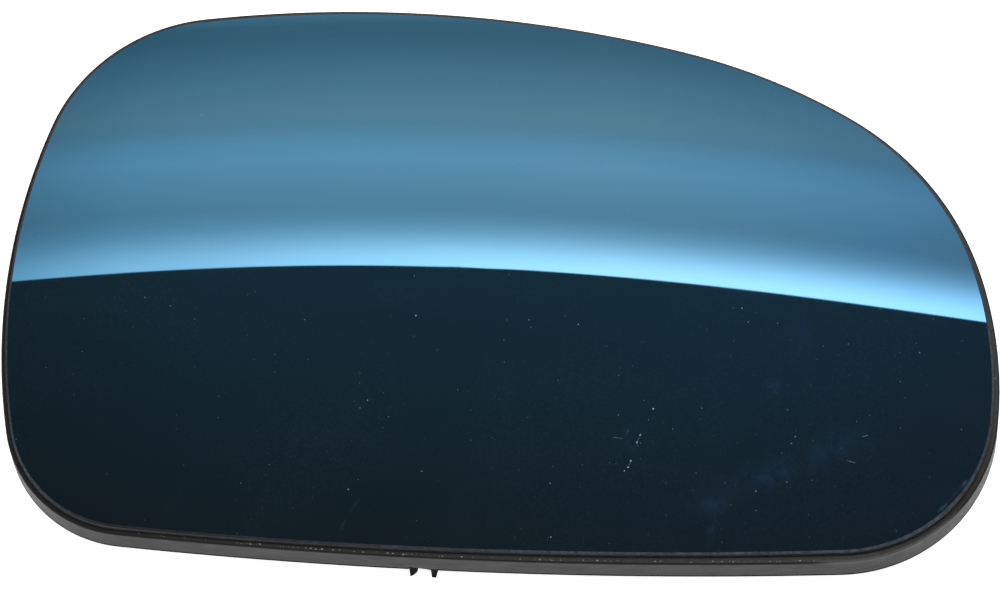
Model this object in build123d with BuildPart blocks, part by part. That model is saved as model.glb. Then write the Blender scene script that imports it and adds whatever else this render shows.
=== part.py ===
from build123d import *
import os

# Car door mirror glass on its moulded carrier, lying on its back with the mirror face up.
# Millimetres. The origin is on the axis of the carrier's clip ring, in the plane of its finger ends,
# on which the part lies. +Z leaves the mirror face, +Y points to the mirror's upper edge, and +X to
# its outer end. The lower edge runs along X.

# Outline of the carrier's rim, as arcs that leave its highest point, and two sides that close it
CROWN_X = -19.5
CROWN_Y = 55.2
TOP_RADIUS = 246.0
TOP_SWEEP_OUTWARD = 12.3
TOP_SWEEP_INWARD = 12.4
SLOPE_RADIUS = 111.5
SLOPE_SWEEP = 16.6
SHOULDER_RADIUS = 53.0
SHOULDER_SWEEP = 42.4
OUTER_END_RADIUS = 73.7
OUTER_END_SWEEP = 42.4
INNER_CORNER_X = -77.6
INNER_CORNER_Y = -46.0
INNER_SIDE_RADIUS = 115.0
LOWER_EDGE_RADIUS = 747.0
LOWER_INNER_ROUND = 23.5
LOWER_OUTER_ROUND = 29.0
UPPER_INNER_ROUND = 32.0

# Mirror glass
MIRROR_RADIUS = 1260.0
GLASS_THICKNESS = 2.0
GLASS_ARRIS = 0.3

# Adhesive pad between the glass and the carrier
PAD_THICKNESS = 1.0
PAD_INSET = 5.0
PAD_CLEARANCE = 0.5

# Carrier: rim, plate and skirt
RIM_LAND = 1.0
RIM_ROUND = 0.4
PLATE_THICKNESS = 2.0
SKIRT_DEPTH = 6.3
SKIRT_WALL = 1.6
SKIRT_DRAFT = 0.5
SKIRT_EDGE_ROUND = 0.3

# Carrier: ring of sprung fingers with hooks, which clips on to the adjuster in the mirror's housing
RING_HEIGHT = 10.0
RING_BORE_RADIUS = 26.0
FINGER_WALL = 1.8
FINGER_COUNT = 8
FINGER_LENGTH = 7.0
FINGER_SLOT = 3.6
HOOK_REACH = 0.8
HOOK_LAND = 2.0
HOOK_LEAD_IN = 0.6

# Carrier: stiffening ribs from the ring to the skirt
RIB_COUNT = 8
RIB_THICKNESS = 1.2
RIB_HEIGHT = 2.4

# Carrier: two prongs on the lower skirt, and the notch in its edge between them
PRONG_REACH = 4.6
PRONG_DEPTH = 1.1
PRONG_SETBACK = 0.3
BARB_X = -10.3
BARB_WIDTH = 1.6
PEG_X = -6.5
PEG_ROOT_WIDTH = 1.4
PEG_TIP_WIDTH = 0.8
NOTCH_DEEP_SIDE = 1.4
NOTCH_SHALLOW_SIDE = 0.4

# Heights on the ring's axis, from the finger ends up
plate_back = RING_HEIGHT
pad_back = plate_back + PLATE_THICKNESS
glass_back = pad_back + PAD_THICKNESS
glass_front = glass_back + GLASS_THICKNESS

# Every curved face is a sphere about one centre; each radius is named for the face it makes
dome_centre = (0, 0, glass_front - MIRROR_RADIUS)
land_radius = MIRROR_RADIUS - GLASS_THICKNESS
pocket_radius = land_radius - PAD_THICKNESS
plate_back_radius = pocket_radius - PLATE_THICKNESS
skirt_edge_radius = land_radius - SKIRT_DEPTH
rib_edge_radius = plate_back_radius - RIB_HEIGHT

# A sphere's poles lie along Y, away from the faces cut from it
POLES_ALONG_Y = (90, 0, 0)

os.makedirs("parts", exist_ok=True)

# Outline of the rim
with BuildSketch() as rim_outline:
    with BuildLine():
        top = JernArc((CROWN_X, CROWN_Y), (1, 0), TOP_RADIUS, -TOP_SWEEP_OUTWARD)
        slope = JernArc(top @ 1, top % 1, SLOPE_RADIUS, -SLOPE_SWEEP)
        shoulder = JernArc(slope @ 1, slope % 1, SHOULDER_RADIUS, -SHOULDER_SWEEP)
        outer_end = JernArc(shoulder @ 1, shoulder % 1, OUTER_END_RADIUS, -OUTER_END_SWEEP)
        top_inward = JernArc((CROWN_X, CROWN_Y), (-1, 0), TOP_RADIUS, TOP_SWEEP_INWARD)
        lower_edge = RadiusArc(outer_end @ 1, (INNER_CORNER_X, INNER_CORNER_Y), LOWER_EDGE_RADIUS)
        inner_side = RadiusArc(top_inward @ 1, lower_edge @ 1, -INNER_SIDE_RADIUS)
    make_face()
    fillet(rim_outline.vertices().sort_by_distance(lower_edge @ 1)[0], LOWER_INNER_ROUND)
    fillet(rim_outline.vertices().sort_by_distance(lower_edge @ 0)[0], LOWER_OUTER_ROUND)
    fillet(rim_outline.vertices().sort_by_distance(inner_side @ 0)[0], UPPER_INNER_ROUND)


def drawn_in(inset):
    """The rim's outline with every arc moved inward by the same distance."""
    with BuildSketch() as inner:
        with BuildLine():
            for arc in rim_outline.edges():
                shrink = 1 - inset / arc.radius
                ThreePointArc([arc.arc_center + (arc @ t - arc.arc_center) * shrink for t in (0, 0.5, 1)])
        make_face()
    return inner.sketch


glass_outline = drawn_in(RIM_LAND)
pad_outline = drawn_in(RIM_LAND + PAD_INSET)
pocket_outline = drawn_in(RIM_LAND + PAD_INSET - PAD_CLEARANCE)
skirt_inside = drawn_in(SKIRT_WALL)

# Mirror glass: a bent sheet with a ground front edge
with BuildPart() as mirror_glass:
    with BuildSketch():
        add(glass_outline)
    extrude(amount=glass_front)
    with Locations(dome_centre):
        Sphere(MIRROR_RADIUS, rotation=POLES_ALONG_Y, mode=Mode.INTERSECT)
        Sphere(land_radius, rotation=POLES_ALONG_Y, mode=Mode.SUBTRACT)
    front_face = mirror_glass.faces().sort_by(Axis.Z)[-1]
    chamfer(front_face.edges(), GLASS_ARRIS)

# Adhesive pad: a foam sheet in the carrier's pocket
with BuildPart() as adhesive_pad:
    with BuildSketch():
        add(pad_outline)
    extrude(amount=glass_front)
    with Locations(dome_centre):
        Sphere(land_radius, rotation=POLES_ALONG_Y, mode=Mode.INTERSECT)
        Sphere(pocket_radius, rotation=POLES_ALONG_Y, mode=Mode.SUBTRACT)

# Room for the pad in the carrier's front
with BuildPart() as pocket:
    with BuildSketch():
        add(pocket_outline)
    extrude(amount=glass_front)
    with Locations(dome_centre):
        Sphere(pocket_radius, rotation=POLES_ALONG_Y, mode=Mode.SUBTRACT)

# Hollow behind the carrier's plate, inside its skirt
with BuildPart() as hollow:
    with BuildSketch():
        add(skirt_inside)
    extrude(amount=glass_front)
    with Locations(dome_centre):
        Sphere(plate_back_radius, rotation=POLES_ALONG_Y, mode=Mode.INTERSECT)

# Clip ring: a collar whose lower part is slit into fingers, each with a hook inside its end
ring_root = pad_back - PLATE_THICKNESS / 2
hook_radius = RING_BORE_RADIUS - HOOK_REACH
hook_top = HOOK_LEAD_IN + HOOK_LAND
ring_outside = RING_BORE_RADIUS + FINGER_WALL
with BuildPart() as clip_ring:
    with BuildSketch(Plane.XZ):
        with BuildLine():
            Polyline(
                (RING_BORE_RADIUS, ring_root),
                (ring_outside, ring_root),
                (ring_outside, 0),
                (hook_radius + HOOK_LEAD_IN, 0),
                (hook_radius, HOOK_LEAD_IN),
                (hook_radius, hook_top),
                (RING_BORE_RADIUS, hook_top + HOOK_REACH),
                close=True,
            )
        make_face()
    revolve(axis=Axis.Z)
    with BuildSketch():
        with PolarLocations(RING_BORE_RADIUS, FINGER_COUNT):
            Rectangle(2 * (FINGER_WALL + HOOK_REACH), FINGER_SLOT)
    extrude(amount=FINGER_LENGTH, mode=Mode.SUBTRACT)

# Ribs: straight webs under the plate, from the ring's wall to the skirt, drawn long and cut to length
rib_length = rim_outline.sketch.bounding_box().diagonal
with BuildPart() as ribs:
    with BuildSketch():
        with PolarLocations(0, RIB_COUNT, start_angle=180 / RIB_COUNT):
            Rectangle(rib_length, RIB_THICKNESS, align=(Align.MIN, Align.CENTER))
        Circle(RING_BORE_RADIUS + FINGER_WALL / 2, mode=Mode.SUBTRACT)
        add(skirt_inside, mode=Mode.INTERSECT)
    extrude(amount=glass_front)
    with Locations(dome_centre):
        Sphere(plate_back_radius, rotation=POLES_ALONG_Y, mode=Mode.INTERSECT)
        Sphere(rib_edge_radius, rotation=POLES_ALONG_Y, mode=Mode.SUBTRACT)

# Prongs: a barb with one upright side and a curved back, and a blunt peg, side by side
lower_edge_y = (lower_edge @ 0.5).Y
skirt_edge = glass_front - MIRROR_RADIUS + (skirt_edge_radius**2 - lower_edge_y**2) ** 0.5
prong_root = skirt_edge + SKIRT_DEPTH / 2
prong_tip = skirt_edge - PRONG_REACH
prong_front = lower_edge_y + PRONG_SETBACK
with BuildPart() as prongs:
    with BuildSketch(Plane.XZ.offset(-prong_front)):
        with BuildLine():
            barb_side = Line((BARB_X, prong_tip), (BARB_X, prong_root))
            barb_top = Line(barb_side @ 1, (BARB_X + BARB_WIDTH, prong_root))
            barb_back = Line(barb_top @ 1, (BARB_X + BARB_WIDTH, skirt_edge))
            TangentArc(barb_back @ 1, barb_side @ 0, tangent=barb_back % 1)
        make_face()
        with BuildLine():
            peg_side = Line((PEG_X, prong_tip + PEG_TIP_WIDTH / 2), (PEG_X, prong_root))
            peg_top = Line(peg_side @ 1, (PEG_X + PEG_ROOT_WIDTH, prong_root))
            peg_back = Line(peg_top @ 1, (PEG_X + PEG_ROOT_WIDTH, skirt_edge))
            peg_taper = Line(peg_back @ 1, (PEG_X + PEG_TIP_WIDTH, prong_tip + PEG_TIP_WIDTH / 2))
            ThreePointArc(peg_taper @ 1, (PEG_X + PEG_TIP_WIDTH / 2, prong_tip), peg_side @ 0)
        make_face()
    extrude(amount=-PRONG_DEPTH)

# Notch in the skirt's edge, deepest beside the barb
with BuildPart() as notch:
    with BuildSketch(Plane.XZ.offset(-lower_edge_y)):
        with BuildLine():
            Polyline(
                (BARB_X, prong_tip),
                (BARB_X, skirt_edge + NOTCH_DEEP_SIDE),
                (PEG_X, skirt_edge + NOTCH_SHALLOW_SIDE),
                (PEG_X, prong_tip),
                close=True,
            )
        make_face()
    extrude(amount=SKIRT_WALL, both=True)

# Carrier: one moulding
with BuildPart() as carrier:
    with BuildSketch(Plane.XY.offset(glass_front)):
        add(rim_outline.sketch)
    extrude(amount=-glass_front, taper=-SKIRT_DRAFT)
    with Locations(dome_centre):
        Sphere(land_radius, rotation=POLES_ALONG_Y, mode=Mode.INTERSECT)
        Sphere(skirt_edge_radius, rotation=POLES_ALONG_Y, mode=Mode.SUBTRACT)
    fillet(carrier.faces().sort_by(Axis.Z)[-1].edges(), RIM_ROUND)
    fillet(carrier.faces().sort_by(Axis.Z)[0].edges(), SKIRT_EDGE_ROUND)
    add(pocket.part, mode=Mode.SUBTRACT)
    add(hollow.part, mode=Mode.SUBTRACT)
    add(notch.part, mode=Mode.SUBTRACT)
    add(clip_ring.part)
    add(ribs.part)
    add(prongs.part)

for piece, name in ((mirror_glass, "mirror_glass"), (adhesive_pad, "adhesive_pad"), (carrier, "carrier")):
    piece.part.label = name
    export_step(piece.part, f"parts/{name}.step")
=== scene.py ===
import logging
import math
import random
from dataclasses import dataclass, field
from enum import Enum

import bpy
from bpy.types import ID, Material, Mesh, Node, NodeSocket, NodeTree, Object, World
from mathutils import Matrix, Vector


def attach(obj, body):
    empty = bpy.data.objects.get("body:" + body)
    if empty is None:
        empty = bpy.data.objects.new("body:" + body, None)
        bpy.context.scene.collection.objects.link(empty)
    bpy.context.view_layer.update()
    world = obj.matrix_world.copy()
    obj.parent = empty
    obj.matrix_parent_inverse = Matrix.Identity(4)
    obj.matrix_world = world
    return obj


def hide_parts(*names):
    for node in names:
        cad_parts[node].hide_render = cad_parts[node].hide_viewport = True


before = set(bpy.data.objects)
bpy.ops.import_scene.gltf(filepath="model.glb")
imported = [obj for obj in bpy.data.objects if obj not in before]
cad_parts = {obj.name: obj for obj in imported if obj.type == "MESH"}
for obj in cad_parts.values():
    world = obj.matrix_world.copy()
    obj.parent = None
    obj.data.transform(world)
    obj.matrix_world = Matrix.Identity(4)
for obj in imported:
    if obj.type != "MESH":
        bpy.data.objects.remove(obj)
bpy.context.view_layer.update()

LOG = logging.getLogger("door_mirror_glass")
MM = 0.001
FULL_TURN = 2.0 * math.pi
BODY = "root"

Triple = tuple[float, float, float]
Colour = Triple
Point = tuple[float, float]
Points = tuple[Point, ...]
Span = tuple[float, float]
Faces = list[tuple[int, ...]]
Stops = tuple[tuple[float, Colour], ...]
Socket = NodeSocket


class GlassFace(Enum):
    """Finish of a face of the glass; the value is its place among the glass's materials."""

    FRONT = 0
    ARRIS = 1
    SIDE = 2


class SpeckSize(Enum):
    """Width of a speck of dust, in millimetres."""

    FAINT = 0.15
    SMALL = 0.21
    PLAIN = 0.3
    COARSE = 0.25
    HEAVY = 0.42


class Ease(Enum):
    """How a number goes from one end of a range to the other."""

    EVEN = "LINEAR"
    SMOOTH = "SMOOTHSTEP"


@dataclass(frozen=True)
class RimArc:
    """One arc of the carrier's rim, in millimetres; directions from its centre are in degrees."""

    centre: Vector
    radius: float

    def at(self, turn: float, inset: float = 0.0) -> Vector:
        """Give the place in a direction, on the arc or an inset inside it."""
        angle = math.radians(turn)
        return self.centre + Vector((math.cos(angle), math.sin(angle))) * (self.radius - inset)

    def onward(self, turn: float, radius: float) -> "RimArc":
        """Give the arc of another radius that leaves this one in a direction, without a corner."""
        return RimArc(self.at(turn, radius), radius)

    @staticmethod
    def between(start: Vector, end: Vector, radius: float) -> "RimArc":
        """Find the arc that runs from one place to another, anticlockwise.

        Args:
            start: where it starts.
            end: where it ends.
            radius: its radius.

        Returns:
            The arc.
        """
        run = end - start
        left = Vector((-run.y, run.x)).normalized()
        return RimArc((start + end) / 2.0 + left * math.sqrt(radius**2 - run.length_squared / 4.0), radius)

    def rounded(self, other: "RimArc", corner: Vector, radius: float) -> "RimArc":
        """Round the corner where this arc meets another.

        Args:
            other: the arc it meets.
            corner: where they meet.
            radius: radius of the round.

        Returns:
            The arc that touches both from inside.
        """
        base = other.centre - self.centre
        reach, other_reach = self.radius - radius, other.radius - radius
        along = (reach**2 - other_reach**2 + base.length_squared) / (2.0 * base.length)
        foot = self.centre + base.normalized() * along
        aside = Vector((-base.y, base.x)).normalized() * math.sqrt(reach**2 - along**2)
        middle = min((foot + aside, foot - aside), key=lambda place: (place - corner).length)
        return RimArc(middle, radius)

    def joint(self, other: "RimArc") -> float:
        """Give the direction, from either centre, in which this arc runs into its neighbour."""
        span = (other.centre - self.centre) * (1.0 if self.radius > other.radius else -1.0)
        return math.degrees(math.atan2(span.y, span.x))


@dataclass(frozen=True)
class Spoke:
    """A direction from an arc's centre to the rim, and its share of the way along the arc."""

    arc: RimArc
    turn: float
    share: float


@dataclass
class RimOutline:
    """Outline of the carrier's rim: arcs from its crown, two sides that close it, and round corners."""

    crown: Point = (-19.5, 55.2)
    top_radius: float = 246.0
    top_sweep_outward: float = 12.3
    top_sweep_inward: float = 12.4
    slope_radius: float = 111.5
    slope_sweep: float = 16.6
    shoulder_radius: float = 53.0
    shoulder_sweep: float = 42.4
    outer_end_radius: float = 73.7
    outer_end_sweep: float = 42.4
    inner_corner: Point = (-77.6, -46.0)
    inner_side_radius: float = 115.0
    lower_edge_radius: float = 747.0
    lower_inner_round: float = 23.5
    lower_outer_round: float = 29.0
    upper_inner_round: float = 32.0
    step: float = 0.8
    fewest_steps: int = 2
    lower: RimArc = field(init=False)
    outer_round: RimArc = field(init=False)
    arcs: tuple[RimArc, ...] = field(init=False)

    def __post_init__(self) -> None:
        """Work out the arcs, anticlockwise from the lower edge."""
        upright = 90.0
        top = RimArc(Vector(self.crown) - Vector((0.0, self.top_radius)), self.top_radius)
        turn = upright - self.top_sweep_outward
        slope = top.onward(turn, self.slope_radius)
        turn -= self.slope_sweep
        shoulder = slope.onward(turn, self.shoulder_radius)
        turn -= self.shoulder_sweep
        outer_end = shoulder.onward(turn, self.outer_end_radius)
        outer_corner = outer_end.at(turn - self.outer_end_sweep)
        upper_corner = top.at(upright + self.top_sweep_inward)
        inner_corner = Vector(self.inner_corner)
        inner_side = RimArc.between(upper_corner, inner_corner, self.inner_side_radius)
        lower = RimArc.between(inner_corner, outer_corner, self.lower_edge_radius)
        outer_round = lower.rounded(outer_end, outer_corner, self.lower_outer_round)
        upper_round = top.rounded(inner_side, upper_corner, self.upper_inner_round)
        inner_round = inner_side.rounded(lower, inner_corner, self.lower_inner_round)
        self.lower, self.outer_round = lower, outer_round
        outer_side = (outer_round, outer_end, shoulder, slope)
        self.arcs = (lower, *outer_side, top, upper_round, inner_side, inner_round)

    def spokes(self) -> list[Spoke]:
        """List spokes round the rim, anticlockwise, from the start of the lower edge.

        Returns:
            The spokes, about one step apart on the rim.
        """
        found = []
        for k, arc in enumerate(self.arcs):
            before, after = self.arcs[k - 1], self.arcs[(k + 1) % len(self.arcs)]
            start = before.joint(arc)
            sweep = (arc.joint(after) - start) % math.degrees(FULL_TURN)
            count = max(self.fewest_steps, round(arc.radius * math.radians(sweep) / self.step))
            found += [Spoke(arc, start + sweep * i / count, i / count) for i in range(count)]
        return found

    def on_lower_edge(self, x: float, inset: float) -> Point:
        """Give the place along the lower edge that lies an inset inside the rim."""
        reach = self.lower.radius - inset
        return x, self.lower.centre.y - math.sqrt(reach**2 - (x - self.lower.centre.x) ** 2)


@dataclass(frozen=True)
class Dome:
    """The sphere that the mirror's front follows, in millimetres."""

    radius: float = 1260.0
    top: float = 15.0

    def height(self, x: float, y: float, depth: float = 0.0) -> float:
        """Give the height above the floor of a layer at a depth below the mirror's front."""
        return self.top - self.radius + math.sqrt((self.radius - depth) ** 2 - x * x - y * y)

    def normal(self, x: float, y: float) -> Vector:
        """Give the direction out of the mirror's front at a place."""
        return Vector((x, y, self.height(x, y) - self.top + self.radius)).normalized()


@dataclass(frozen=True)
class Range:
    """A range of numbers and the one that it becomes, held at its ends."""

    low: float
    high: float
    to_low: float = 0.0
    to_high: float = 1.0
    ease: Ease = Ease.EVEN


@dataclass(frozen=True)
class Cloud:
    """Cloudy noise about 0.5: its clouds' size in millimetres, layers, stirring, factor on each axis."""

    grain: float
    detail: float = 3.0
    stir: float = 0.0
    run: Triple = (1.0, 1.0, 1.0)


@dataclass(frozen=True)
class Patch:
    """A soft oval in the XY plane: its half-length and half-width, and the angle of its length in degrees."""

    middle: Point
    reach: Point
    turn: float = 0.0
    strength: float = 1.0


class NodeGraph:
    """Adds nodes to the tree of a material or of the world, and links them."""

    # Places of the sockets for colours on a mix node.
    MIX_INPUTS = (6, 7)
    MIX_OUTPUT = 2
    # Vector operations that give a number.
    MEASURES = ("DISTANCE", "LENGTH")

    def __init__(self, tree: NodeTree) -> None:
        """Take a node tree and empty it."""
        self.tree = tree
        tree.nodes.clear()

    def add(
        self, kind: str, *values: object, named: dict[str, object] | None = None, **settings: object
    ) -> Node:
        """Add one node and fill it.

        Args:
            kind: the node's type name, without its prefix.
            values: what its first inputs take, in order.
            named: what other inputs take, by name.
            settings: properties of the node.

        Returns:
            The new node.
        """
        node = self.tree.nodes.new("ShaderNode" + kind)
        for name, value in settings.items():
            setattr(node, name, value)
        for socket, value in zip(node.inputs, values):
            self.feed(socket, value)
        for name, value in (named or {}).items():
            self.feed(node.inputs[name], value)
        return node

    def feed(self, socket: Socket, value: object) -> None:
        """Link a socket to another socket, or set it to a constant.

        Args:
            socket: the input to fill.
            value: an output socket, a number, a place or a colour.
        """
        if isinstance(value, Socket):
            self.tree.links.new(value, socket)
        elif isinstance(value, tuple) and socket.type == "RGBA":
            socket.default_value = (*value, 1.0)
        else:
            socket.default_value = value

    def math(self, operation: str, *values: object, clamp: bool = False) -> Socket:
        """Combine sockets or numbers by an operation, and keep the result between 0 and 1 if told to."""
        return self.add("Math", *values, operation=operation, use_clamp=clamp).outputs[0]

    def vector(self, operation: str, *values: object) -> Socket:
        """Combine sockets, places or colours by an operation."""
        node = self.add("VectorMath", *values, operation=operation)
        return node.outputs["Value" if operation in self.MEASURES else "Vector"]

    def axes(self, place: Socket) -> tuple[Socket, ...]:
        """Split a place or a direction into its x, y and z."""
        return tuple(self.add("SeparateXYZ", place).outputs)

    def spread(self, value: object, reach: Range) -> Socket:
        """Map a socket or a number from one range to another."""
        ends = (reach.low, reach.high, reach.to_low, reach.to_high)
        return self.add("MapRange", value, *ends, interpolation_type=reach.ease.value).outputs[0]

    def blend(self, share: object, first: object, second: object) -> Socket:
        """Mix two colours.

        Args:
            share: how much of the second colour, from 0 to 1.
            first: a socket or a colour.
            second: a socket or a colour.

        Returns:
            The mixed colour's socket.
        """
        node = self.add("Mix", share, data_type="RGBA")
        for place, colour in zip(self.MIX_INPUTS, (first, second)):
            self.feed(node.inputs[place], colour)
        return node.outputs[self.MIX_OUTPUT]

    def ramp(self, value: object, stops: Stops) -> Socket:
        """Read a colour off a row of stops.

        Args:
            value: a socket from 0 to 1.
            stops: places and their colours, in order.

        Returns:
            The colour's socket.
        """
        node = self.add("ValToRGB", value)
        elements = node.color_ramp.elements
        while len(elements) < len(stops):
            elements.new(1.0)
        for element, (place, colour) in zip(elements, stops):
            element.position = place
            element.color = (*colour, 1.0)
        return node.outputs[0]


class Surface(NodeGraph):
    """The graph of a material, with its shader and the place on the part in millimetres."""

    # Factors that leave the height out of a place.
    FLAT = (1.0, 1.0, 0.0)
    # Share of the cells in a pattern of specks that stay empty.
    EMPTY_CELLS = 0.35

    def __init__(self, tree: NodeTree) -> None:
        """Take a material's node tree, empty it and put a shader in it.

        Args:
            tree: the node tree.
        """
        super().__init__(tree)
        self.shader = self.add("BsdfPrincipled")
        self.add("OutputMaterial", self.shader.outputs[0])
        self.place = self.vector("MULTIPLY", self.add("TexCoord").outputs["Object"], (1.0 / MM,) * 3)

    def put(self, socket: str, value: object) -> None:
        """Link one of the shader's sockets, or set it to a constant."""
        self.feed(self.shader.inputs[socket], value)

    def noise(self, cloud: Cloud) -> Socket:
        """Lay cloudy noise over the part.

        Args:
            cloud: the noise.

        Returns:
            The noise, about 0.5, as a socket.
        """
        drawn = self.vector("MULTIPLY", self.place, cloud.run)
        named = {"Scale": 1.0 / cloud.grain, "Detail": cloud.detail, "Distortion": cloud.stir}
        return self.add("TexNoise", drawn, named=named).outputs[0]

    def clouded(self, cloud: Cloud, reach: Range) -> Socket:
        """Lay cloudy noise over the part and map it to a range."""
        return self.spread(self.noise(cloud), reach)

    def specks(self, spacing: float, radius: float) -> Socket:
        """Scatter round specks of mixed sizes in the XY plane.

        Args:
            spacing: distance between neighbours, in millimetres.
            radius: the largest speck's radius, in millimetres.

        Returns:
            1 on a speck and 0 elsewhere, as a socket.
        """
        cells = self.add("TexVoronoi", self.place, named={"Scale": 1.0 / spacing}, voronoi_dimensions="2D")
        lot = self.add("SeparateColor", cells.outputs["Color"]).outputs[0]
        size = self.spread(lot, Range(self.EMPTY_CELLS, 1.0, 0.0, radius / spacing))
        return self.math("GREATER_THAN", size, cells.outputs["Distance"])

    def spot(self, patch: Patch) -> Socket:
        """Lay a soft patch on the part.

        Args:
            patch: the patch.

        Returns:
            The patch's strength at its centre, falling to 0 at its edge.
        """
        seat = ((*patch.middle, 0.0), (0.0, 0.0, math.radians(patch.turn)), (*patch.reach, 1.0))
        scaled = self.add("Mapping", self.place, *seat, vector_type="TEXTURE").outputs[0]
        away = self.vector("LENGTH", self.vector("MULTIPLY", scaled, self.FLAT))
        return self.math("MULTIPLY", self.spread(away, Range(1.0, 0.0, ease=Ease.SMOOTH)), patch.strength)

    def bump(self, height: Socket, depth: float) -> Socket:
        """Give a surface relief from a height between 0 and 1 and a depth in millimetres."""
        return self.add("Bump", named={"Distance": depth * MM, "Height": height}).outputs[0]


@dataclass(frozen=True)
class Finish:
    """A finish with its name; each kind adds the nodes that make it."""

    name: str

    def material(self) -> Material:
        """Make the material.

        Returns:
            The finished material.
        """
        made = bpy.data.materials.new(self.name)
        made.use_nodes = True
        self.paint(Surface(made.node_tree))
        return made

    def paint(self, on: Surface) -> None:
        """Fill the shader's sockets; each kind of finish has its own way."""
        raise NotImplementedError


@dataclass(frozen=True)
class TintedMirror(Finish):
    """Blue mirror film behind clear glass, with fine dust and finger marks on it, and painted teal glints
    near its lower outer edge.
    """

    name: str = "tinted_mirror_film"
    tint: Colour = (0.29, 0.549, 0.742)
    dull_share: float = 0.96
    tint_clouds: Cloud = Cloud(60.0, detail=2.0)
    dust: Colour = (0.30, 0.38, 0.43)
    dust_cover: float = 0.35
    dust_sizes: Points = ((5.0, 0.11), (2.1, 0.05))
    dusty_patches: Cloud = Cloud(22.0, detail=2.0)
    dusty_share: Range = Range(0.38, 0.6, 0.0, 0.75)
    bloom: float = 0.01
    bloom_grains: Cloud = Cloud(0.5, detail=6.0)
    bloom_share: Range = Range(0.45, 0.75)
    grease_and_glint: Colour = (0.25, 0.54, 0.84)
    grease_and_glint_share: Range = Range(0.05, 0.4)
    haze_and_glint: float = 0.024
    smear: float = 0.02
    streaks: Cloud = Cloud(9.0, detail=4.0, stir=0.6, run=(1.0, 0.25, 1.0))
    polish: Range = Range(0.35, 0.75, 0.006, 0.0096)
    wisps: Cloud = Cloud(2.2, detail=8.0, stir=1.0, run=(1.0, 0.7, 1.0))
    wisp_share: Range = Range(0.34, 0.7)
    wiping: Cloud = Cloud(14.0, detail=5.0, stir=0.8)
    wiped_share: Range = Range(0.52, 0.85, 0.0, 0.12)
    # Smears and scratches, and three painted teal glints along the lower outer edge.
    marks: tuple[Patch, ...] = (
        Patch((51.8, -15.6), (2.2, 2.6), 0.0, 0.9),
        Patch((52.5, -31.7), (7.0, 4.2), 35.0, 1.0),
        Patch((42.4, -38.2), (4.6, 3.4), 20.0, 0.9),
        Patch((42.4, -42.5), (5.5, 1.5), 80.0, 0.7),
        Patch((62.8, -26.4), (12.0, 5.0), 25.0, 0.55),
        Patch((48.0, -33.5), (24.0, 5.0), 27.0, 0.35),
        Patch((-16.5, -1.4), (9.0, 4.0), 0.0, 0.35),
        Patch((56.6, -6.5), (4.5, 10.0), 0.0, 0.3),
        Patch((27.5, -27.0), (5.5, 5.0), 0.0, 0.35),
        # Painted teal glints along the glass's lower outer edge.
        Patch((85.5, -31.8), (1.8, 0.5), 55.0, 6.0),
        Patch((84.4, -33.3), (1.3, 0.5), 55.0, 4.0),
        Patch((82.4, -35.8), (1.9, 0.5), 50.0, 6.0),
        Patch((-20.0, -41.5), (2.7, 0.3), 61.0, 1.2),
        Patch((-21.7, -45.1), (1.9, 0.3), 67.0, 1.2),
    )
    coat: float = 1.0
    coat_roughness: float = 0.0
    coat_index: float = 1.5

    def paint(self, on: Surface) -> None:
        """Fill the shader's sockets.

        Args:
            on: the material's graph and shader.
        """
        dull = tuple(part * self.dull_share for part in self.tint)
        film = on.blend(on.noise(self.tint_clouds), dull, self.tint)
        marks = self.smudges_and_glints(on)
        # Smear colour on the marks; on the glints it is a painted glint.
        smeared = on.blend(on.spread(marks, self.grease_and_glint_share), film, self.grease_and_glint)
        dots = on.math("MAXIMUM", *(on.specks(*size) for size in self.dust_sizes))
        patchy = on.clouded(self.dusty_patches, self.dusty_share)
        grains = on.math("MULTIPLY", dots, patchy)
        on.put("Base Color", on.blend(grains, smeared, self.dust))
        fine = on.math("MULTIPLY", on.clouded(self.bloom_grains, self.bloom_share), patchy)
        # The veil on the marks also makes the painted glints bright.
        veil = on.math("MULTIPLY_ADD", fine, self.bloom, on.math("MULTIPLY", marks, self.haze_and_glint))
        cover = on.math("MULTIPLY_ADD", grains, self.dust_cover, veil)
        on.put("Metallic", on.math("SUBTRACT", 1.0, cover, clamp=True))
        gloss = on.clouded(self.streaks, self.polish)
        on.put("Roughness", on.math("MULTIPLY_ADD", marks, self.smear, gloss))
        on.put("Coat Weight", self.coat)
        on.put("Coat Roughness", self.coat_roughness)
        on.put("Coat IOR", self.coat_index)

    def smudges_and_glints(self, on: Surface) -> Socket:
        """Find the smeared patches, most of them towards the lower outer corner, and the painted teal glints
        along the lower outer edge.

        Args:
            on: the material's graph and shader.

        Returns:
            How strong the marks and painted glints are, as a socket.
        """
        total: object = 0.0
        for mark in self.marks:
            total = on.math("MAXIMUM", total, on.spot(mark))
        broken = on.math("MULTIPLY", total, on.clouded(self.wisps, self.wisp_share))
        return on.math("MAXIMUM", broken, on.clouded(self.wiping, self.wiped_share))


@dataclass(frozen=True)
class Mottled(Finish):
    """A finish of two colours that run into each other in clouds."""

    dark: Colour
    pale: Colour
    clouds: Cloud = Cloud(1.4)
    share: Range = Range(0.35, 0.65)
    rough: Range = Range(0.2, 0.8, 0.6, 0.9)
    relief: float = 0.0
    level: float = 0.5
    glow: float = 0.0

    def paint(self, on: Surface) -> None:
        """Fill the shader's sockets.

        Args:
            on: the material's graph and shader.
        """
        noise = on.noise(self.clouds)
        on.put("Base Color", on.blend(self.pale_share(on, noise), self.dark, self.pale))
        on.put("Roughness", on.spread(noise, self.rough))
        if self.relief > 0.0:
            on.put("Normal", on.bump(noise, self.relief))
        on.put("Specular IOR Level", self.level)
        on.put("Emission Strength", self.glow)

    def pale_share(self, on: Surface, noise: Socket) -> Socket:
        """Find how much of the pale colour the noise gives, from 0 to 1."""
        return on.spread(noise, self.share)


@dataclass(frozen=True)
class DryDust(Mottled):
    """Dust and grit: a dry grey that varies from grain to grain."""


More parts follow.
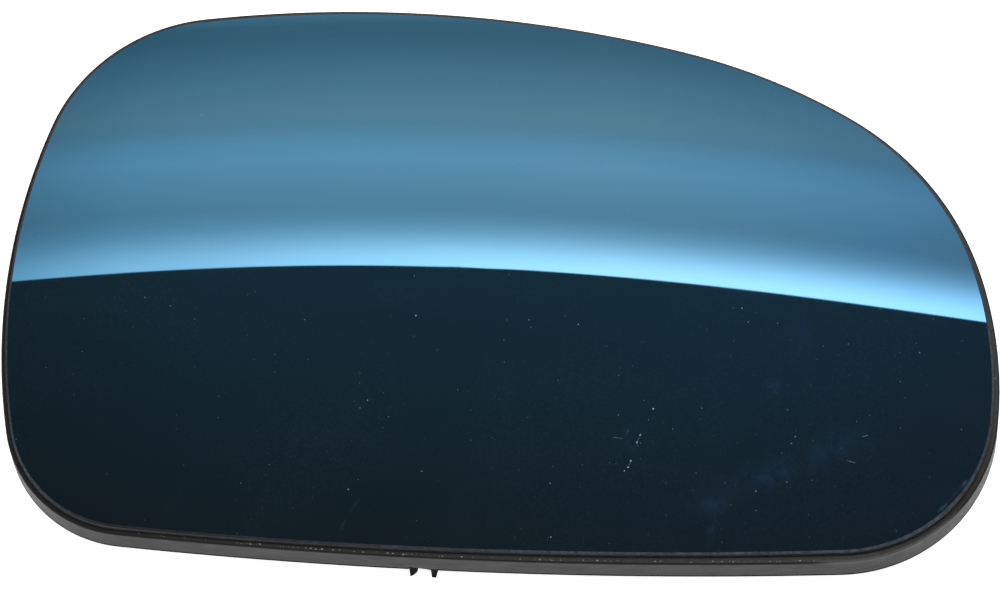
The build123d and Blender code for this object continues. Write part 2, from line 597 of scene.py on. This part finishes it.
@dataclass(frozen=True)
class GlassSide(Mottled):
    """Cut side of the glass, dark where it looks into the sheet."""

    name: str = "cut_glass_side"
    dark: Colour = (0.004, 0.005, 0.0055)
    pale: Colour = (0.013, 0.0145, 0.015)
    clouds: Cloud = Cloud(1.1, detail=4.0, run=(1.0, 1.0, 3.0))
    share: Range = Range(0.45, 0.75)
    rough: Range = Range(0.3, 0.7, 0.25, 0.45)
    level: float = 0.12


@dataclass(frozen=True)
class GroundEdge(Mottled):
    """Ground arris round the glass: pale and rough, with the wheel's marks, and less pale in the middle than
    towards both ends of the part.
    """

    name: str = "ground_glass_edge"
    dark: Colour = (0.012, 0.0122, 0.013)
    pale: Colour = (0.053, 0.066, 0.083)
    clouds: Cloud = Cloud(0.7, detail=5.0)
    share: Range = Range(0.25, 0.75, 0.15, 0.75)
    rough: Range = Range(0.2, 0.8, 0.38, 0.6)
    relief: float = 0.03
    level: float = 0.03
    broad: Cloud = Cloud(9.0, detail=2.0)
    broad_share: Range = Range(0.3, 0.7, -0.1, 0.1)
    outward: Range = Range(-50.0, 20.0, 0.2, 1.3)
    inward: Range = Range(-70.0, -80.0, 0.0, 0.55)
    inner_corner: Patch = Patch((-76.0, -41.0), (20.0, 9.0), -45.0, 0.8)

    def pale_share(self, on: Surface, noise: Socket) -> Socket:
        """Find how pale the edge is: more so towards both ends of the part.

        Args:
            on: the material's graph and shader.
            noise: the wheel's marks.

        Returns:
            How much of the pale colour shows, from 0 to 1.
        """
        across = on.axes(on.place)[0]
        marks = on.math("ADD", on.spread(noise, self.share), on.clouded(self.broad, self.broad_share))
        ends = on.math("ADD", on.spread(across, self.outward), on.spread(across, self.inward))
        return on.math("MULTIPLY", marks, on.math("ADD", ends, on.spot(self.inner_corner)), clamp=True)


@dataclass(frozen=True)
class FoamTape(Mottled):
    """Closed-cell foam of the adhesive pad: matt, with small cells."""

    name: str = "closed_cell_foam"
    dark: Colour = (0.02, 0.02, 0.021)
    pale: Colour = (0.045, 0.045, 0.047)
    clouds: Cloud = Cloud(0.35)
    rough: Range = Range(0.2, 0.8, 0.8, 0.95)
    relief: float = 0.05


@dataclass(frozen=True)
class PaleFloor(Mottled):
    """Plain pale studio floor, with a trace of unevenness."""

    name: str = "pale_floor"
    dark: Colour = (0.86, 0.86, 0.86)
    pale: Colour = (0.9, 0.9, 0.9)
    clouds: Cloud = Cloud(120.0, detail=2.0)
    share: Range = Range(0.0, 1.0)
    rough: Range = Range(0.2, 0.8, 0.85, 0.95)
    level: float = 0.1
    glow: float = 0.75


@dataclass(frozen=True)
class MouldedPlastic(Finish):
    """Black moulded plastic: grey outside the skirt, dust and painted light on the rim, a painted highlight
    on the lower outer lip, and painted shade on the rim's outer edge, along the skirt's lower edge and on the
    prongs; still black at the back.
    """

    name: str = "moulded_black_plastic"
    outline: RimOutline = field(default_factory=RimOutline)
    dome: Dome = Dome()
    depth_span: Range = Range(0.0, 12.0)
    # Colour by depth behind the mirror's front: the land, a band of painted shade on the rim's rounded outer
    # edge, the grey wall, then from 7.5 mm down painted shade along the skirt's lower edge and on the prongs.
    grey_and_painted_shade: Stops = (
        (0.170, (0.016, 0.0155, 0.015)), (0.178, (0.009, 0.009, 0.009)), (0.205, (0.009, 0.009, 0.009)),
        (0.235, (0.0155, 0.0155, 0.0157)), (0.612, (0.0145, 0.0145, 0.0147)), (0.625, (0.004, 0.004, 0.004)),
        (1.0, (0.004, 0.004, 0.004)),
    )
    patches: Cloud = Cloud(16.0, detail=4.0, stir=0.4)
    patch_shade: Range = Range(0.3, 0.7, 0.88, 1.1)
    ring: Colour = (0.024, 0.024, 0.0245)
    ring_reach: Patch = Patch((0.0, 0.0), (32.0, 32.0))
    ring_edge: Range = Range(0.0, 0.02)
    # Pale rim colour: dust on the upward faces mixed with painted light that grows towards the outer end,
    # with painted shade at the inner end and the lower outer corner.
    rim_dust_and_light: Colour = (0.06, 0.0585, 0.059)
    faces_up: Range = Range(0.9, 0.99)
    dust_and_painted_light_outward: Range = Range(-85.0, 70.0, 0.2, 0.95)
    painted_shade_corner: Patch = Patch((84.0, -33.0), (22.0, 14.0), 50.0, 0.65)
    painted_shade_inward: Range = Range(-74.0, -52.0)
    uneven: Cloud = Cloud(0.45, detail=4.0)
    uneven_share: Range = Range(0.3, 0.7, 0.65, 1.25)
    # Painted highlight on the rim's outer lip at the lower outer corner.
    lip_highlight: Colour = (0.07, 0.068, 0.069)
    lip_highlight_across: Range = Range(60.0, 64.0)
    lip_highlight_down: Range = Range(-35.0, -39.0)
    lip_inset: Range = Range(0.45, 0.3)
    lip_depth: Range = Range(2.5, 2.65, 1.0, 0.0)
    scuffs: Cloud = Cloud(1.6, detail=6.0, stir=1.0, run=(0.3, 1.0, 1.0))
    scuff_gloss: Range = Range(0.3, 0.75, 0.36, 0.5)
    raw_below: Range = Range(7.4, 7.6)
    dust_matt: float = 0.8
    grain: Cloud = Cloud(0.28, detail=2.0)
    relief: float = 0.012
    level: float = 0.08

    def paint(self, on: Surface) -> None:
        """Fill the shader's sockets.

        Args:
            on: the material's graph and shader.
        """
        depth = self.depth(on)
        ring = on.spread(on.spot(self.ring_reach), self.ring_edge)
        # The depth ramp carries the painted shade on the rim's outer edge, the skirt's lower edge and the
        # prongs; the ring at the back keeps its own colour.
        hue = on.blend(ring, on.ramp(on.spread(depth, self.depth_span), self.grey_and_painted_shade), self.ring)
        body = on.vector("MULTIPLY", hue, on.clouded(self.patches, self.patch_shade))
        # Dust on the rim together with painted light, paler towards the outer end.
        dust_and_light = self.dust(on)
        dull = on.blend(dust_and_light, body, self.rim_dust_and_light)
        # The painted highlight on the lower outer lip goes over the rest.
        on.put("Base Color", on.blend(self.lip(on, depth), dull, self.lip_highlight))
        raw = on.math("SUBTRACT", on.spread(depth, self.raw_below), ring)
        matt = on.math("MAXIMUM", raw, on.math("MULTIPLY", dust_and_light, self.dust_matt), clamp=True)
        on.put("Roughness", on.math("MAXIMUM", on.clouded(self.scuffs, self.scuff_gloss), matt))
        on.put("Normal", on.bump(on.noise(self.grain), self.relief))
        on.put("Specular IOR Level", self.level)

    def depth(self, on: Surface) -> Socket:
        """Measure how far the place lies behind the mirror's front, in millimetres."""
        middle = (0.0, 0.0, self.dome.top - self.dome.radius)
        return on.math("SUBTRACT", self.dome.radius, on.vector("DISTANCE", on.place, middle))

    def dust(self, on: Surface) -> Socket:
        """Find the dust on the rim together with painted light, stronger towards the outer end.

        Args:
            on: the material's graph and shader.

        Returns:
            How much dust and painted light there is, from 0 to 1.
        """
        across = on.axes(on.place)[0]
        facing = on.axes(on.add("NewGeometry").outputs["Normal"])[2]
        # Painted light grows towards the outer end; painted shade thins it at the lower outer corner and the
        # inner end.
        outward = on.spread(across, self.dust_and_painted_light_outward)
        thinned = on.math("SUBTRACT", outward, on.spot(self.painted_shade_corner))
        left = on.math("MULTIPLY", thinned, on.spread(across, self.painted_shade_inward))
        lying = on.math("MULTIPLY", left, on.clouded(self.uneven, self.uneven_share))
        return on.math("MULTIPLY", on.spread(facing, self.faces_up), lying, clamp=True)

    def lip(self, on: Surface, depth: Socket) -> Socket:
        """Find the outer lip of the rim at the lower outer corner, where a painted highlight lies.

        Args:
            on: the material's graph and shader.
            depth: how far the place lies behind the mirror's front.

        Returns:
            1 on the lip and 0 elsewhere, as a socket.
        """
        across, up, _ = on.axes(on.place)
        corner = self.outline.outer_round
        away = on.vector("DISTANCE", on.vector("MULTIPLY", on.place, on.FLAT), (*corner.centre, 0.0))
        found = on.spread(on.math("SUBTRACT", corner.radius, away), self.lip_inset)
        limits = ((across, self.lip_highlight_across), (up, self.lip_highlight_down), (depth, self.lip_depth))
        for value, reach in limits:
            found = on.math("MULTIPLY", found, on.spread(value, reach))
        return found


def new_mesh(name: str, points: list[Vector] | list[Triple], faces: Faces, *finishes: Finish) -> Mesh:
    """Make a mesh with its finishes.

    Args:
        name: the mesh's name.
        points: corners, in metres.
        faces: corners of each face.
        finishes: its materials, in order.

    Returns:
        The mesh.
    """
    mesh = bpy.data.meshes.new(name)
    mesh.from_pydata(points, [], faces)
    mesh.shade_smooth()
    for finish in finishes:
        mesh.materials.append(finish.material())
    return mesh


def put_in_scene(data: ID) -> Object:
    """Put a mesh, a lamp or a camera into the scene under its own name.

    Args:
        data: the mesh, lamp or camera.

    Returns:
        The new object.
    """
    thing = bpy.data.objects.new(data.name, data)
    bpy.context.scene.collection.objects.link(thing)
    return thing


@dataclass
class MirrorGlass:
    """Bent mirror glass with a ground arris; it stands for the plain solid of the glass."""

    outline: RimOutline
    dome: Dome
    rim_land: float = 1.0
    seat_shift: Point = (-0.1, -0.09)
    seat_turn: float = 0.25
    thickness: float = 1.98
    arris: float = 0.3
    arris_corner: float = 0.04
    arris_corner_drop: float = 0.8
    arris_wander: float = 0.08
    side_wander: float = 0.3
    wave_counts: tuple[int, ...] = (2, 3, 5, 8, 13, 21, 34)
    wave_sizes: Span = (0.4, 1.0)
    corner_fullness: float = 0.2
    corner_arris_share: float = 0.75
    front_rings: int = 28
    back_rings: int = 6
    seed: int = 7

    def wander(self, count: int) -> list[float]:
        """Vary the arris's width along the edge, as hand grinding does.

        Args:
            count: number of spokes.

        Returns:
            What is added to the arris at each spoke, in millimetres.
        """
        draw = random.Random(self.seed)
        waves = [(k, draw.uniform(0.0, FULL_TURN), draw.uniform(*self.wave_sizes)) for k in self.wave_counts]
        loudest = sum(size for _, _, size in waves)
        added = []
        for i in range(count):
            swing = sum(size * math.sin(k * FULL_TURN * i / count + phase) for k, phase, size in waves)
            added.append(self.arris_wander * (1.0 + swing / loudest) / 2.0)
        return added

    def edge_profile(self) -> tuple[tuple[float, float, float, GlassFace], ...]:
        """List the rings of the edge from the front to the back.

        Returns:
            Each ring's inset, depth and share of the arris's wander, and the face that leads to it.
        """
        width, corner = self.arris, self.arris_corner
        return (
            (width + corner, 0.0, 1.0, GlassFace.FRONT),
            (width - corner, corner * self.arris_corner_drop, 1.0, GlassFace.ARRIS),
            (corner, width - corner, self.side_wander, GlassFace.ARRIS),
            (0.0, width + corner, 0.0, GlassFace.ARRIS),
            (0.0, self.thickness - corner, 0.0, GlassFace.SIDE),
            (corner, self.thickness, 0.0, GlassFace.SIDE),
        )

    def fullness(self, spoke: Spoke, share: float) -> float:
        """Find how much fuller the glass is cut at its lower outer corner, where its arris is wide.

        Args:
            spoke: the direction to the edge.
            share: 0 at the edge, 1 where the arris starts.

        Returns:
            How far the ring lies outward of its place elsewhere, in millimetres.
        """
        if spoke.arc is not self.outline.outer_round:
            return 0.0
        kept = 1.0 - self.corner_arris_share * share
        return self.corner_fullness * kept * math.sin(math.pi * spoke.share) ** 2

    def seated(self, spoke: Spoke, inset: float) -> Point:
        """Give a place inside the rim as the glass sits there, a little askew."""
        place = Matrix.Rotation(math.radians(self.seat_turn), 2) @ spoke.arc.at(spoke.turn, inset)
        return place.x + self.seat_shift[0], place.y + self.seat_shift[1]

    @staticmethod
    def shrunk(ring: list[Triple], share: float) -> list[Triple]:
        """Give a smaller copy of a ring about the part's axis, at the same depth."""
        return [(x * share, y * share, depth) for x, y, depth in ring]

    def rings(self) -> tuple[list[list[Triple]], list[GlassFace]]:
        """Lay out the rings from the middle of the front round the edge to the middle of the back.

        Returns:
            The places of each ring with their depths, and the face that leads to each ring.
        """
        spokes = self.outline.spokes()
        wander = self.wander(len(spokes))
        edge, leads = [], []
        for inset, depth, share, kind in self.edge_profile():
            insets = [
                self.rim_land + inset + share * added - self.fullness(spoke, share)
                for spoke, added in zip(spokes, wander)
            ]
            edge.append([(*self.seated(spoke, inward), depth) for spoke, inward in zip(spokes, insets)])
            leads.append(kind)
        front = [self.shrunk(edge[0], k / self.front_rings) for k in range(1, self.front_rings)]
        back = [self.shrunk(edge[-1], k / self.back_rings) for k in range(self.back_rings - 1, 0, -1)]
        all_leads = [GlassFace.FRONT] * len(front) + leads + [GlassFace.SIDE] * len(back)
        return front + edge + back, all_leads

    def raised(self, x: float, y: float, depth: float) -> Vector:
        """Give a place at a depth below the mirror's front, in metres."""
        return Vector((x, y, self.dome.height(x, y, depth))) * MM

    def build(self) -> Object:
        """Make the glass and dress it.

        Returns:
            The finished piece.
        """
        rings, leads = self.rings()
        count = len(rings[0])
        points = [self.raised(*place) for ring in rings for place in ring]
        front_middle, back_middle = len(points), len(points) + 1
        last = front_middle - count
        points += [self.raised(0.0, 0.0, depth) for depth in (0.0, self.thickness)]
        faces, kinds = [], []
        for i in range(count):
            j = (i + 1) % count
            faces += [(front_middle, i, j), (back_middle, last + j, last + i)]
            kinds += [GlassFace.FRONT, GlassFace.SIDE]
            for k in range(1, len(rings)):
                inner, outer = (k - 1) * count, k * count
                faces.append((inner + i, outer + i, outer + j, inner + j))
                kinds.append(leads[k])
        piece = self.finished(points, faces, kinds)
        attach(piece, BODY)
        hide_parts("mirror_glass")
        return piece

    def finished(self, points: list[Vector], faces: Faces, kinds: list[GlassFace]) -> Object:
        """Turn the faces into a piece with its three finishes and true normals.

        Args:
            points: corners, in metres.
            faces: corners of each face.
            kinds: finish of each face.

        Returns:
            The piece.
        """
        mesh = new_mesh("bent_mirror_glass", points, faces, TintedMirror(), GroundEdge(), GlassSide())
        normals: list[Vector] = []
        for polygon, kind in zip(mesh.polygons, kinds):
            polygon.material_index = kind.value
            for corner in polygon.vertices:
                x, y, _ = points[corner] / MM
                normals.append(self.dome.normal(x, y) if kind is GlassFace.FRONT else polygon.normal.copy())
        mesh.normals_split_custom_set(normals)
        mesh.update()
        return put_in_scene(mesh)


@dataclass
class LumpField:
    """Many small rounded lumps in one piece, on the mirror's front or on a layer below it."""

    name: str
    finish: Finish
    seed: int
    dome: Dome
    height_share: float
    depth: float = 0.0
    sides: int = 8
    rings: Points = ((1.0, 0.0), (0.72, 0.7))
    uneven: Span = (0.75, 1.0)
    draw: random.Random = field(init=False)
    points: list[Vector] = field(default_factory=list)
    faces: Faces = field(default_factory=list)

    def __post_init__(self) -> None:
        """Start the field's own row of random draws."""
        self.draw = random.Random(self.seed)

    def lump(self, place: Point, length: float, width: float, turn: float) -> None:
        """Add one lump.

        Args:
            place: where it lies, in millimetres.
            length: its length.
            width: its width.
            turn: angle of its length from X, in radians.
        """
        first = len(self.points)
        foot = Vector((*place, self.dome.height(*place, self.depth)))
        up = self.dome.normal(*place)
        tall = width * self.height_share
        heading = Vector((math.cos(turn), math.sin(turn), 0.0))
        along = (heading - up * up.dot(heading)).normalized()
        across = up.cross(along)
        for share, rise in self.rings:
            for i in range(self.sides):
                angle = FULL_TURN * i / self.sides
                swell = share * self.draw.uniform(*self.uneven) / 2.0
                offset = along * (length * math.cos(angle)) + across * (width * math.sin(angle))
                self.points.append((foot + offset * swell + up * (tall * rise)) * MM)
        self.points += [(foot + up * tall) * MM, foot * MM]
        high = first + self.sides
        top, bottom = high + self.sides, high + self.sides + 1
        for i in range(self.sides):
            j = (i + 1) % self.sides
            self.faces += [
                (first + i, first + j, high + j, high + i),
                (high + i, high + j, top),
                (first + j, first + i, bottom),
            ]

    def build(self) -> Object:
        """Make the piece and dress it.

        Returns:
            The finished piece.
        """
        piece = put_in_scene(new_mesh(self.name, self.points, self.faces, self.finish))
        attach(piece, BODY)
        return piece


@dataclass
class SurfaceDust:
    """Specks, hairs and threads on the mirror's front."""

    dome: Dome
    bright: DryDust = DryDust("settled_dust", dark=(0.16, 0.21, 0.23), pale=(0.27, 0.33, 0.35))
    bright_seed: int = 11
    dull: DryDust = DryDust("dull_dust", dark=(0.07, 0.1, 0.115), pale=(0.125, 0.165, 0.18))
    dull_seed: int = 13
    heavy: Points = (
        (31.1, -21.0), (27.3, -32.1), (29.1, -26.0), (27.7, -30.9), (28.6, -27.4), (-11.6, -5.5),
        (-52.9, 32.3),
    )
    coarse: Points = (
        (17.1, -5.8), (-19.0, -21.8), (45.7, -1.1), (26.7, -32.8), (14.6, -45.6), (49.7, -35.2),
        (56.1, -24.7), (-8.6, -34.6),
    )
    plain: Points = (
        (-12.4, 2.1), (-21.2, -38.5), (13.9, -35.8), (-20.2, -23.3), (55.5, -26.0), (46.9, -3.7),
        (77.2, -7.5), (25.1, -22.5), (55.0, -33.2), (8.4, -5.4),
    )
    small: Points = (
        (45.5, -38.0), (74.0, -13.2), (4.5, -13.6), (8.8, -6.8), (74.3, -40.9), (30.4, -23.1),
        (-3.3, -19.2), (66.7, -21.2), (52.1, -3.6), (-31.2, -7.0), (60.3, -7.4), (85.0, -21.4),
        (4.5, -5.6), (4.2, -9.4),
    )
    faint: Points = (
        (27.0, -13.2), (-11.7, -9.4), (-8.9, -43.7), (-76.5, -17.4), (64.2, -26.3), (-19.6, -36.6),
        (19.1, -36.2), (-39.6, -14.9), (-16.3, -20.3), (22.3, -9.7), (-20.7, -16.8), (-7.4, -11.9),
        (25.0, -13.7), (56.2, -23.5), (-52.3, -28.4), (76.6, -5.8), (-52.4, -25.7), (-41.7, -2.5),
        (75.0, -16.2), (-56.5, -45.4), (-63.9, -37.1),
    )
    hairs: tuple[tuple[Point, Point], ...] = (
        ((67.6, -24.0), (68.9, -23.6)),
        ((65.1, -28.5), (66.9, -28.9)),
    )
    threads: tuple[tuple[Point, Point], ...] = (
        ((24.0, -26.6), (26.5, -26.9)),
        ((26.9, -24.8), (26.9, -26.0)),
        ((28.5, -27.5), (29.1, -26.2)),
        ((28.5, -27.4), (28.9, -28.4)),
        ((27.3, -32.0), (27.8, -30.9)),
    )
    hair_width: float = 0.06
    thread_width: float = 0.08
    length_share: Span = (0.9, 1.3)
    width_share: Span = (0.75, 1.0)
    height_share: float = 0.1

    def build(self) -> tuple[Object, Object]:
        """Make the dust.

        Returns:
            The bright specks and the dull ones.
        """
        bright = LumpField("mirror_dust", self.bright, self.bright_seed, self.dome, self.height_share)
        dull = LumpField("mirror_dull_dust", self.dull, self.dull_seed, self.dome, self.height_share)
        rows = (
            (bright, self.heavy, SpeckSize.HEAVY),
            (bright, self.coarse, SpeckSize.COARSE),
            (dull, self.plain, SpeckSize.PLAIN),
            (dull, self.small, SpeckSize.SMALL),
            (dull, self.faint, SpeckSize.FAINT),
        )
        for lumps, places, size in rows:
            for place in places:
                long = size.value * lumps.draw.uniform(*self.length_share)
                wide = size.value * lumps.draw.uniform(*self.width_share)
                lumps.lump(place, long, wide, lumps.draw.uniform(0.0, math.pi))
        strands = (
            (bright, self.hairs, self.hair_width),
            (dull, self.threads, self.thread_width),
        )
        for lumps, lines, width in strands:
            for start, end in lines:
                run = Vector(end) - Vector(start)
                middle = (Vector(start) + Vector(end)) / 2.0
                lumps.lump((middle.x, middle.y), run.length, width, math.atan2(run.y, run.x))
        return bright.build(), dull.build()


@dataclass
class GlueSpecks:
    """Bits of dried adhesive and grit on the carrier's rim, along the foot of the glass."""

    outline: RimOutline
    dome: Dome
    finish: DryDust = DryDust("dried_glue", (0.16, 0.16, 0.16), (0.5, 0.49, 0.48), clouds=Cloud(0.8))
    seed: int = 23
    land_depth: float = 2.0
    places: tuple[float, ...] = (
        -36.1, -27.2, -26.3, -25.2, -23.3, -22.1, -18.0, -13.7, -12.8, -11.0, -4.1, -0.8, 9.4, 12.8,
        14.9, 22.8, 32.8, 42.8, 46.3, 52.7, 57.9,
    )
    long: Span = (0.3, 0.55)
    wide: Span = (0.14, 0.22)
    stray: Point = (90.63, -10.6)
    stray_size: Point = (0.34, 0.24)
    scattered: int = 70
    scattered_wide: Span = (0.06, 0.16)
    scattered_share: Span = (1.0, 2.5)
    reach: Span = (-60.0, 63.0)
    inset: Span = (0.38, 0.6)
    height_share: float = 0.45
    askew: Span = (-0.3, 0.3)

    def build(self) -> Object:
        """Make the specks.

        Returns:
            The finished piece.
        """
        footing = (self.dome, self.height_share, self.land_depth)
        lumps = LumpField("rim_glue_specks", self.finish, self.seed, *footing)
        for x in self.places:
            self.lay(lumps, x, lumps.draw.uniform(*self.long), lumps.draw.uniform(*self.wide))
        for _ in range(self.scattered):
            size = lumps.draw.uniform(*self.scattered_wide)
            x = lumps.draw.uniform(*self.reach)
            self.lay(lumps, x, size * lumps.draw.uniform(*self.scattered_share), size)
        lumps.lump(self.stray, *self.stray_size, lumps.draw.uniform(*self.askew))
        return lumps.build()

    def lay(self, lumps: LumpField, x: float, long: float, wide: float) -> None:
        """Lay one speck of a length and width at a place along the lower edge."""
        place = self.outline.on_lower_edge(x, lumps.draw.uniform(*self.inset))
        lumps.lump(place, long, wide, lumps.draw.uniform(*self.askew))


@dataclass
class PlainSolid:
    """A solid whose shape is kept as it is and which only takes a finish."""

    node: str
    finish: Finish

    def dress(self) -> Object:
        """Give the solid its finish.

        Returns:
            The dressed solid.
        """
        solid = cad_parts[self.node]
        material = self.finish.material()
        if solid.material_slots:
            solid.material_slots[0].material = material
        else:
            solid.data.materials.append(material)
        return solid


@dataclass
class StudioTent:
    """Pale tent round the part, open overhead; the mirror shows its far wall and the dark opening."""

    least_rise: float = 0.05
    across: Range = Range(-0.3, 0.2)
    edge: tuple[float, ...] = (0.4303, -0.0418, -0.1262, 0.3674, 0.915)
    edge_softness: Range = Range(-0.0005, 0.0005, ease=Ease.SMOOTH)
    wall_span: Range = Range(0.0, 0.2)
    wall: Stops = (
        (0.0, (0.23, 0.47, 0.6)), (0.17, (0.25, 0.378, 0.43)), (0.25, (0.297, 0.443, 0.503)),
        (0.32, (0.33, 0.49, 0.564)), (0.37, (0.3, 0.463, 0.534)), (0.42, (0.271, 0.376, 0.424)),
        (0.47, (0.278, 0.369, 0.394)), (0.55, (0.22, 0.32, 0.36)), (0.63, (0.167, 0.259, 0.298)),
        (0.71, (0.118, 0.198, 0.236)), (0.75, (0.12, 0.2, 0.235)), (0.8, (0.2, 0.3, 0.335)),
        (1.0, (0.3, 0.33, 0.34)),
    )
    wall_fall: Stops = (
        (0.0, (0.6, 0.68, 0.71)), (0.1, (0.79, 0.88, 0.9)), (0.2, (0.92, 0.955, 0.97)),
        (0.32, (0.97, 1.0, 1.0)), (0.58, (1.03, 1.0, 0.99)), (0.72, (0.89, 0.93, 0.955)),
        (0.84, (0.735, 0.8, 0.88)), (0.95, (0.6, 0.635, 0.69)),
    )
    wall_foot: Range = Range(0.17, 0.8, ease=Ease.SMOOTH)
    glow_fall: float = 0.017
    glow: Stops = (
        (0.0, (0.225, 0.255, 0.265)), (0.1, (0.43, 0.43, 0.44)), (0.2, (0.55, 0.54, 0.54)),
        (0.32, (0.735, 0.745, 0.74)), (0.45, (0.91, 0.95, 0.93)), (0.6, (1.1, 1.075, 1.1)),
        (0.78, (1.11, 1.17, 1.23)), (0.95, (0.98, 1.17, 1.35)),
    )
    opening_span: Range = Range(-0.15, 0.0)
    opening: Stops = (
        (0.0, (0.0235, 0.0225, 0.0235)), (0.5, (0.022, 0.0325, 0.037)), (1.0, (0.0245, 0.0435, 0.052)),
    )
    opening_fall: Stops = (
        (0.0, (0.89, 0.7, 0.67)), (0.2, (0.955, 0.925, 0.925)), (0.45, (1.0, 1.0, 1.0)),
        (0.7, (0.99, 0.99, 1.06)), (0.95, (1.04, 0.81, 0.87)),
    )
    opening_sides: Range = Range(1.0, 1.5, ease=Ease.SMOOTH)
    opening_front: Range = Range(-0.8, -1.3, ease=Ease.SMOOTH)
    skirt: Stops = (
        (0.0, (0.98, 0.98, 0.98)), (0.5, (0.72, 0.73, 0.74)), (0.86, (0.25, 0.27, 0.28)),
        (1.0, (0.06, 0.07, 0.075)),
    )

    def build(self) -> World:
        """Make the tent as the world's light.

        Returns:
            The world.
        """
        world = bpy.data.worlds.new("studio_tent")
        world.use_nodes = True
        bpy.context.scene.world = world
        graph = NodeGraph(world.node_tree)
        sideways, forward, upward = graph.axes(graph.add("TexCoord").outputs["Generated"])
        rise = graph.math("MAXIMUM", upward, self.least_rise)
        across, ahead = (graph.math("DIVIDE", way, rise) for way in (sideways, forward))
        below = graph.math("SUBTRACT", ahead, self.edge_line(graph, across))
        along = graph.spread(across, self.across)
        skirt = graph.ramp(upward, self.skirt)
        sides = graph.spread(graph.math("ABSOLUTE", across), self.opening_sides)
        outside = graph.math("MAXIMUM", sides, graph.spread(ahead, self.opening_front))
        dim = graph.ramp(graph.spread(below, self.opening_span), self.opening)
        dark = graph.vector("MULTIPLY", dim, graph.ramp(along, self.opening_fall))
        near = graph.blend(outside, dark, skirt)
        far = graph.blend(graph.spread(below, self.wall_foot), self.far_wall(graph, along, below), skirt)
        light = graph.blend(graph.spread(below, self.edge_softness), near, far)
        graph.add("OutputWorld", graph.add("Background", light).outputs[0])
        return world

    def edge_line(self, graph: NodeGraph, across: Socket) -> Socket:
        """Find the opening's far edge, a curve in powers of the view's slope to the side.

        Args:
            graph: where nodes are added.
            across: slope of the view to the side.

        Returns:
            Slope of the edge there.
        """
        held = graph.math("MINIMUM", graph.math("MAXIMUM", across, self.across.low), self.across.high)
        line: object = self.edge[-1]
        for share in self.edge[-2::-1]:
            line = graph.math("MULTIPLY_ADD", held, line, share)
        return line

    def far_wall(self, graph: NodeGraph, along: Socket, below: Socket) -> Socket:
        """Paint the far wall: grey folds, and a glow along its top that is stronger to the right.

        Args:
            graph: where nodes are added.
            along: place along the wall, from 0 to 1.
            below: how far below the opening's edge the view goes.

        Returns:
            The wall's colour.
        """
        folds = graph.ramp(graph.spread(below, self.wall_span), self.wall)
        wall = graph.vector("MULTIPLY", folds, graph.ramp(along, self.wall_fall))
        reach = graph.math("DIVIDE", below, self.glow_fall)
        fall = graph.math("EXPONENT", graph.math("MULTIPLY", graph.math("MULTIPLY", reach, reach), -1.0))
        glow = graph.vector("MULTIPLY", graph.ramp(along, self.glow), fall)
        return graph.vector("ADD", wall, glow)


@dataclass
class Studio:
    """Floor, soft lamp and camera round the part, in metres and degrees."""

    floor_reach: float = 6.0
    floor_sides: int = 96
    floor_height: float = -0.05 * MM
    lamp_height: float = 1.8
    lamp_size: float = 2.2
    lamp_power: float = 42.0
    azimuth: float = 9.0
    elevation: float = 67.0
    roll: float = -5.88
    distance: float = 1.0
    target: Triple = (0.003, -0.001, 0.015)
    width_seen: float = 0.1765
    sensor_millimetres: float = 36.0
    clip: Span = (0.05, 50.0)

    def floor(self) -> Object:
        """Lay the floor that the part rests on.

        Returns:
            The floor.
        """
        reach, sides = self.floor_reach, range(self.floor_sides)
        turns = [FULL_TURN * i / self.floor_sides for i in sides]
        rim = [(reach * math.cos(turn), reach * math.sin(turn), self.floor_height) for turn in turns]
        floor = put_in_scene(new_mesh("studio_floor", rim, [tuple(sides)], PaleFloor()))
        return floor

    def lamp(self) -> Object:
        """Hang a broad soft lamp overhead, which the mirror doesn't show.

        Returns:
            The lamp.
        """
        light = bpy.data.lights.new("overhead_lamp", "AREA")
        light.size = self.lamp_size
        light.energy = self.lamp_power
        lamp = put_in_scene(light)
        lamp.location = (0.0, 0.0, self.lamp_height)
        lamp.visible_glossy = False
        return lamp

    def camera(self) -> Object:
        """Stand the camera where the photograph was taken from.

        Returns:
            The camera.
        """
        turn, lift, lean = (math.radians(a) for a in (self.azimuth, self.elevation, self.roll))
        back = Vector((math.sin(turn) * math.cos(lift), -math.cos(turn) * math.cos(lift), math.sin(lift)))
        level = Vector((math.cos(turn), math.sin(turn), 0.0))
        steep = back.cross(level)
        right = level * math.cos(lean) + steep * math.sin(lean)
        up = back.cross(right)
        data = bpy.data.cameras.new("photo_camera")
        data.sensor_width = self.sensor_millimetres
        data.lens = data.sensor_width * self.distance / self.width_seen
        data.clip_start, data.clip_end = self.clip
        camera = put_in_scene(data)
        place = Vector(self.target) + back * self.distance
        camera.matrix_world = Matrix.Translation(place) @ Matrix((right, up, back)).transposed().to_4x4()
        bpy.context.scene.camera = camera
        return camera


def main() -> None:
    """Build the part's pieces in order, then the studio round it."""
    logging.basicConfig(level=logging.INFO, format="%(message)s")
    outline = RimOutline()
    # The glass that is shown lies a hair lower than its solid, so it stays inside the solids' box.
    glass_top = 14.985
    dome = Dome(top=glass_top)
    pieces = (
        MirrorGlass(outline, dome).build(),
        PlainSolid("adhesive_pad", FoamTape()).dress(),
        PlainSolid("carrier", MouldedPlastic(outline=outline)).dress(),
        *SurfaceDust(dome).build(),
        GlueSpecks(outline, dome).build(),
    )
    for piece in pieces:
        LOG.info("piece %s: %d faces", piece.name, len(piece.data.polygons))
    studio = Studio()
    StudioTent().build()
    for thing in (studio.floor(), studio.lamp(), studio.camera()):
        LOG.info("studio %s", thing.name)
    bpy.context.scene.view_settings.view_transform = "Standard"


if __name__ == "__main__":
    main()
